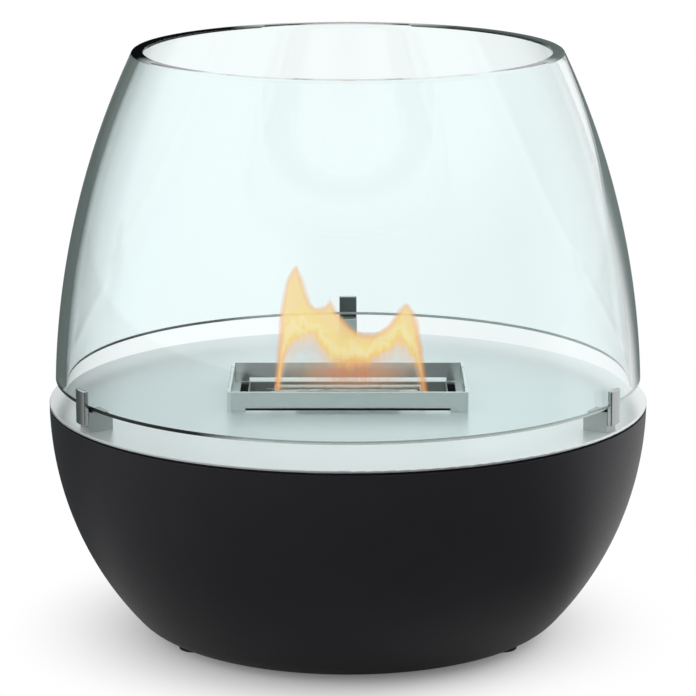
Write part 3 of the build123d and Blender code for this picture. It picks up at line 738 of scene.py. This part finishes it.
def makeFlame():
    crest, hollow, base = flame["crest"], flame["hollow"], flame["baseZ"]
    first, last = crest[0][0], crest[-1][0]
    steps = flame["outlineSteps"]
    outline = kdtree.KDTree(steps + 1)
    for step in range(steps + 1):
        x = first + (last - first) * step / steps
        outline.insert((x, 0, heightAt(crest, x)), step)
    outline.balance()
    bm = bmesh.new()
    layers = {name: bm.verts.layers.float.new(name) for name in ("edge", "glow", "warm")}
    bmesh.ops.create_grid(bm, x_segments=flame["columns"], y_segments=flame["rows"], size=1.0)
    bmesh.ops.duplicate(bm, geom=bm.faces[:])
    seed = Vector((flame["seed"], 0, 0))
    (swayWide, swayTall), (billowWide, billowTall) = flame["swaySize"], flame["billowSize"]
    for index, vert in enumerate(bm.verts):
        side = -1 if index < len(bm.verts) // 2 else 1
        share = (vert.co.y + 1) / 2
        x = first + (last - first) * (vert.co.x + 1) / 2
        z = base + max(heightAt(crest, x) - base, 0) * share
        away = outline.find((x, 0, z))[2]
        closed = min(away, z - base) / flame["soft"]
        fat = math.sqrt(1 - (1 - min(closed, 1)) ** 2)
        depth = flame["halfDepth"] * fat * (1 - flame["taper"] * z / flame["tipZ"])
        # 3 and 9 only set the noises of the two sides and of the sway apart
        place = seed + Vector((x / billowWide, side * 3, z / billowTall))
        bend = noise.noise(seed + Vector((x / swayWide, 9, z / swayTall)))
        sway = flame["sway"] * bend * min(z / swayTall, 1)
        y = flame["middleY"] + sway + side * depth * (1 + flame["billow"] * noise.noise(place))
        x += flame["ripple"] * fat * noise.noise(place * 2)
        vert[layers["edge"]] = min(away / flame["soft"], 1)
        above = (z - heightAt(hollow, x)) / flame["glowHeight"]
        vert[layers["glow"]] = max(0.0, min(1.0, 0.5 + above))
        leg = (1 - min(away / flame["legWidth"], 1)) * max(1 - z / flame["legHeight"], 0)
        beside = (x - flame["smearX"]) / flame["smearWidth"]
        over = abs(z - flame["smearZ"]) / flame["smearHeight"]
        vert[layers["warm"]] = max(leg, math.exp(-beside ** 2) * max(1 - over, 0))
        vert.co = Vector((x, y, z)) * mm + Vector((0, 0, plateTop))
    bmesh.ops.remove_doubles(bm, verts=bm.verts, dist=flame["merge"] * mm)
    bmesh.ops.recalc_face_normals(bm, faces=bm.faces)
    return bm


burningGas = flameGas("burning_gas", flameLook)
flamePiece = finishMesh("flame", makeFlame(), [burningGas], smoothAngle=180, flatFaces=False)
keep(flamePiece, "burner")
# it casts no shadow, and the studio outshines it: nothing mirrors it or is lit by it
flamePiece.visible_shadow = False
flamePiece.visible_glossy = False
flamePiece.visible_diffuse = False
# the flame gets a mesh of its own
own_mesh(flamePiece)
print("flame done")


# floor, lamps, camera

studio = {
    # metres; the floor turns white between two distances from the middle
    "floorRadius": 9.0, "floorSides": 96, "paper": "#F4F4F3",
    "clearFrom": 0.07, "clearTo": 0.21, "mirrorLevel": 0.8,
    # what glass and steel mirror: the floor, and the paper screens that stand round it
    "floorTones": [
        (0.0, "#C0C0C0"), (0.14, "#7A7C7C"), (0.20, "#5A5C5C"), (0.42, "#505252"),
        (0.47, "#8C8E8E"), (0.51, "#FFFFFF"), (0.64, "#FFFFFF"), (0.66, "#A8B0AE"),
        (0.672, "#84908E"), (0.735, "#84908E"), (0.747, "#FFFFFF"), (0.765, "#FFFFFF"),
        (0.785, "#707B78"), (0.86, "#707B78"), (0.92, "#5C605F"), (0.97, "#808282"),
        (1.0, "#C0C0C0"),
    ],
    "screenTones": [
        (0.0, "#EAFAF8"), (0.07, "#FFFFFF"), (0.16, "#FFFFFF"), (0.22, "#8C9694"),
        (0.31, "#8C9694"), (0.385, "#202222"), (0.46, "#202222"), (0.55, "#F4FFFD"),
        (0.61, "#FFFFFF"), (0.755, "#FFFFFF"), (0.78, "#646C6A"), (0.87, "#7C8683"),
        (0.93, "#B4C6C3"), (1.0, "#EAFAF8"),
    ],
    # what lights matt surfaces
    "roomTones": [
        (0.0, "#E8E8E8"), (0.2, "#E8E8E8"), (0.3, "#8A8A8A"), (0.52, "#8A8A8A"),
        (0.64, "#E4E4E4"), (1.0, "#E8E8E8"),
    ],
    # the screens turn into a white ceiling between two heights of the sight line
    "ceilingFrom": 0.18, "ceilingTo": 0.5,
    # lamps: place, size in metres, power in watts
    "lamps": {
        "top": ((0.8, -0.2, 2.3), (2.0, 2.0), 18),
        "frontLeft": ((-2.3, -1.0, 1.3), (2.0, 2.0), 13),
        "backRight": ((1.7, 0.7, 1.0), (1.6, 1.6), 34),
    },
    "lampAim": (0, 0, 0.15),
}
white = (1, 1, 1, 1)


def rayKinds(tree):
    # seen: rays that reach the background straight or through glass; mirrored: rays off a mirror
    path = addNode(tree, "ShaderNodeLightPath")
    mirrored = addNode(tree, "ShaderNodeMath", {0: path.outputs["Glossy Depth"], 1: 0.5},
                       operation="GREATER_THAN").outputs[0]
    scattered = addNode(tree, "ShaderNodeMath", {0: path.outputs["Diffuse Depth"], 1: 0.5},
                        operation="GREATER_THAN").outputs[0]
    seen = addNode(tree, "ShaderNodeMath", {
        0: path.outputs["Is Camera Ray"], 1: path.outputs["Is Transmission Ray"]},
        operation="MAXIMUM").outputs[0]
    for unwanted in (mirrored, scattered):
        seen = addNode(tree, "ShaderNodeMath", {0: seen, 1: unwanted}, operation="SUBTRACT",
                       use_clamp=True).outputs[0]
    mirrored = addNode(tree, "ShaderNodeMath", {0: mirrored, 1: scattered},
                       operation="SUBTRACT", use_clamp=True).outputs[0]
    return seen, mirrored


def makeFloor():
    bm = bmesh.new()
    bmesh.ops.create_circle(bm, cap_ends=True, segments=studio["floorSides"],
                            radius=studio["floorRadius"])
    material = bpy.data.materials.new("pale_paper_floor")
    material.use_nodes = True
    tree = material.node_tree
    tree.nodes.clear()
    place = addNode(tree, "ShaderNodeTexCoord").outputs["Object"]
    distance = addNode(tree, "ShaderNodeVectorMath", {0: place}, operation="LENGTH")
    far = addNode(tree, "ShaderNodeMapRange", {
        "Value": distance.outputs["Value"], "From Min": studio["clearFrom"],
        "From Max": studio["clearTo"]}, interpolation_type="SMOOTHSTEP").outputs[0]
    seen, mirrored = rayKinds(tree)
    tones = tonesAround(tree, place, studio["floorTones"])
    colour = addNode(tree, "ShaderNodeMix", {"Factor": mirrored, 6: white, 7: tones},
                     data_type="RGBA").outputs[2]
    level = addNode(tree, "ShaderNodeMix", {
        "Factor": mirrored, 2: 1.0, 3: studio["mirrorLevel"]}).outputs[0]
    shown = addNode(tree, "ShaderNodeMath", {0: seen, 1: mirrored}, operation="MAXIMUM").outputs[0]
    share = addNode(tree, "ShaderNodeMath", {0: shown, 1: far}, operation="MULTIPLY").outputs[0]
    paper = addNode(tree, "ShaderNodeBsdfDiffuse", {"Color": hexColour(studio["paper"])})
    glow = addNode(tree, "ShaderNodeEmission", {"Color": colour, "Strength": level})
    mixed = addNode(tree, "ShaderNodeMixShader", {
        0: share, 1: paper.outputs[0], 2: glow.outputs[0]})
    addNode(tree, "ShaderNodeOutputMaterial", {"Surface": mixed.outputs[0]})
    finishMesh("studio_floor", bm, [material])


def makeLight():
    world = bpy.data.worlds.new("studio_light")
    bpy.context.scene.world = world
    world.use_nodes = True
    tree = world.node_tree
    tree.nodes.clear()
    direction = addNode(tree, "ShaderNodeTexCoord").outputs["Generated"]
    height = addNode(tree, "ShaderNodeSeparateXYZ", {"Vector": direction}).outputs["Z"]
    above = addNode(tree, "ShaderNodeMapRange", {
        "Value": height, "From Min": studio["ceilingFrom"], "From Max": studio["ceilingTo"]},
        interpolation_type="SMOOTHSTEP").outputs[0]
    screens = tonesAround(tree, direction, studio["screenTones"])
    screens = addNode(tree, "ShaderNodeMix", {"Factor": above, 6: screens, 7: white},
                      data_type="RGBA").outputs[2]
    seen, mirrored = rayKinds(tree)
    room = tonesAround(tree, direction, studio["roomTones"])
    colour = addNode(tree, "ShaderNodeMix", {"Factor": mirrored, 6: room, 7: screens},
                     data_type="RGBA").outputs[2]
    colour = addNode(tree, "ShaderNodeMix", {"Factor": seen, 6: colour, 7: white},
                     data_type="RGBA").outputs[2]
    glow = addNode(tree, "ShaderNodeBackground", {"Color": colour, "Strength": 1.0})
    addNode(tree, "ShaderNodeOutputWorld", {"Surface": glow.outputs[0]})
    for name, (place, size, power) in studio["lamps"].items():
        lamp = bpy.data.lights.new(name, "AREA")
        lamp.shape = "RECTANGLE"
        lamp.size, lamp.size_y = size
        lamp.energy = power
        holder = bpy.data.objects.new(name, lamp)
        holder.location = place
        aim = Vector(studio["lampAim"]) - Vector(place)
        holder.rotation_euler = aim.to_track_quat("-Z", "Y").to_euler()
        # steel and glass mirror the screens instead
        holder.visible_glossy = False
        holder.visible_transmission = False
        bpy.context.scene.collection.objects.link(holder)


# a long lens from a little above: metres, degrees, mm
view = {"distance": 2.0108, "height": 0.4803, "tilt": 12.66, "lens": 181.73, "sensor": 36.0}


def makeCamera():
    camera = bpy.data.cameras.new("front")
    camera.lens = view["lens"]
    camera.sensor_width = view["sensor"]
    holder = bpy.data.objects.new("front", camera)
    holder.location = (0, -view["distance"], plateTop + view["height"])
    holder.rotation_euler = (math.radians(90 - view["tilt"]), 0, 0)
    bpy.context.scene.collection.objects.link(holder)
    bpy.context.scene.camera = holder


makeFloor()
makeLight()
makeCamera()
bpy.context.scene.view_settings.view_transform = "Standard"
print("studio done")
